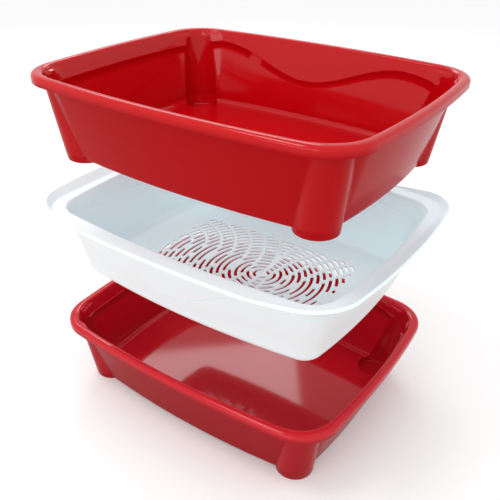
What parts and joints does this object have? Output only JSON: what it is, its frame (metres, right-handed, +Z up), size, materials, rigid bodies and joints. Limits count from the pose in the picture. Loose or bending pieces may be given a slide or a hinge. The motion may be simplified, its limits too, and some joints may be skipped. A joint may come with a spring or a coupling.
{
  "type": "sifting litter tray set",
  "caption": "Rectangular litter tray set lifted apart: a red footed tray above and below, and a flanged white sieve tray with curved slots in its floor between them.",
  "frame": {"origin": "middle of the lower tray's footprint, on the surface its four feet stand on", "axes": "+X along the trays' long side, +Y along their short side, +Z up"},
  "size_m": [0.5, 0.394, 0.488],
  "materials": {
    "deep_red_gloss_plastic": "glossy moulded plastic, slightly deeper red",
    "white_plastic": "satin moulded plastic",
    "red_gloss_plastic": "glossy moulded plastic"
  },
  "bodies": {
    "lower_tray": {"lower_tray": "deep_red_gloss_plastic"},
    "sieve_tray": {"sieve_tray": "white_plastic"},
    "upper_tray": {"upper_tray": "red_gloss_plastic"}
  },
  "joints": [
    {"name": "sieve_lift", "type": "slide", "parent": "lower_tray", "child": "sieve_tray", "axis": [0, 0, 1], "range_m": [-0.1843, 0]},
    {"name": "upper_tray_lift", "type": "slide", "parent": "sieve_tray", "child": "upper_tray", "axis": [0, 0, 1], "range_m": [-0.1107, 0]}
  ]
}
